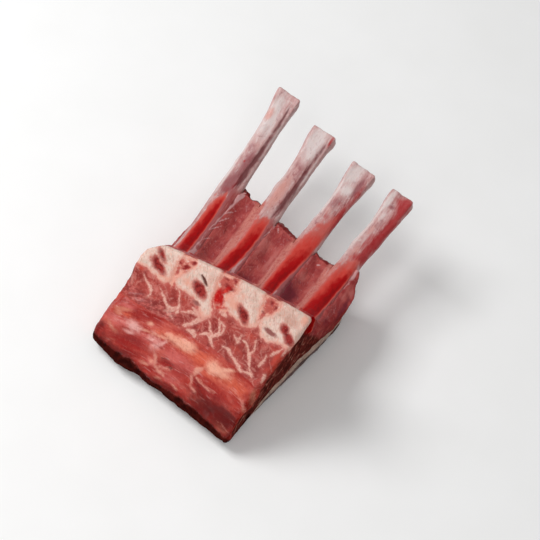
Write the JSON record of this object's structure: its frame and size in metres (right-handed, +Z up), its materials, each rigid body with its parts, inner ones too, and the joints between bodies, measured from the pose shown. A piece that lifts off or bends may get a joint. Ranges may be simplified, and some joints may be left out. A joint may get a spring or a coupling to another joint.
{
  "type": "raw rack of lamb",
  "caption": "Raw frenched rack of lamb: scraped rib bones on sawn backbone, with loin meat, a fat layer and a thin cap muscle, lying rib side up.",
  "frame": {"origin": "bottom centre of the bounding box, on the surface that the rack lies on", "axes": "+X along the backbone, +Y along the ribs towards their tips, +Z up, out of the rib cage side"},
  "size_m": [0.0994, 0.1666, 0.0594],
  "materials": {
    "meat": "moist raw red muscle with pale fat seams",
    "fat": "soft waxy fat, cream to greyish pink",
    "cap_muscle": "moist dark red muscle",
    "rib_bone": "moist bone, greyish white stained pink and red",
    "sawn_bone": "sawn bone, cream with red marrow"
  },
  "bodies": {
    "root": {"meat": "meat", "fat_layer": "fat", "cap_muscle": "cap_muscle", "rib_1": "rib_bone", "rib_2": "rib_bone", "rib_3": "rib_bone", "rib_4": "rib_bone", "vertebra_1": "sawn_bone", "vertebra_2": "sawn_bone", "vertebra_3": "sawn_bone", "vertebra_4": "sawn_bone"}
  },
  "joints": []
}
